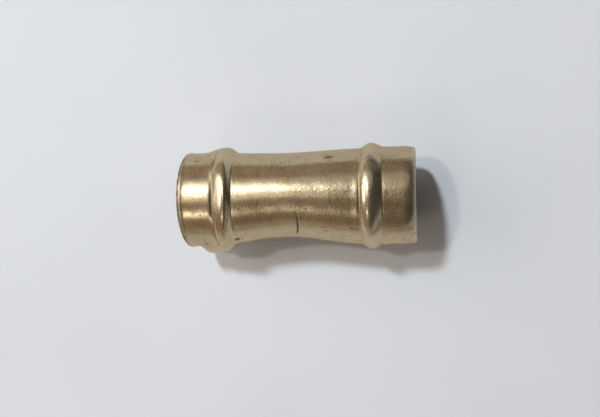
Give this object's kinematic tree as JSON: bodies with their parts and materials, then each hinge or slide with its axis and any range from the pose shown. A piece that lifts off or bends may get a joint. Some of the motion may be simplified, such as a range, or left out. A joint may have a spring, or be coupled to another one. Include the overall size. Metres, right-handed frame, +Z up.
{
  "type": "pipe coupling",
  "caption": "Straight brass capillary coupling with a solder ring held in a rolled bead near each mouth, joining two tubes end to end.",
  "frame": {"origin": "on the bore's axis at the middle of the length", "axes": "+X along the bore towards the right mouth, +Z up as it lies on a table on its two beads, +Y completing the set"},
  "size_m": [0.0412, 0.0193, 0.0188],
  "materials": {
    "brass": "worn satin, lightly tarnished",
    "solder": "dull tin-lead grey"
  },
  "bodies": {
    "root": {"coupling_body": "brass", "solder_ring_left": "solder", "solder_ring_right": "solder"}
  },
  "joints": []
}
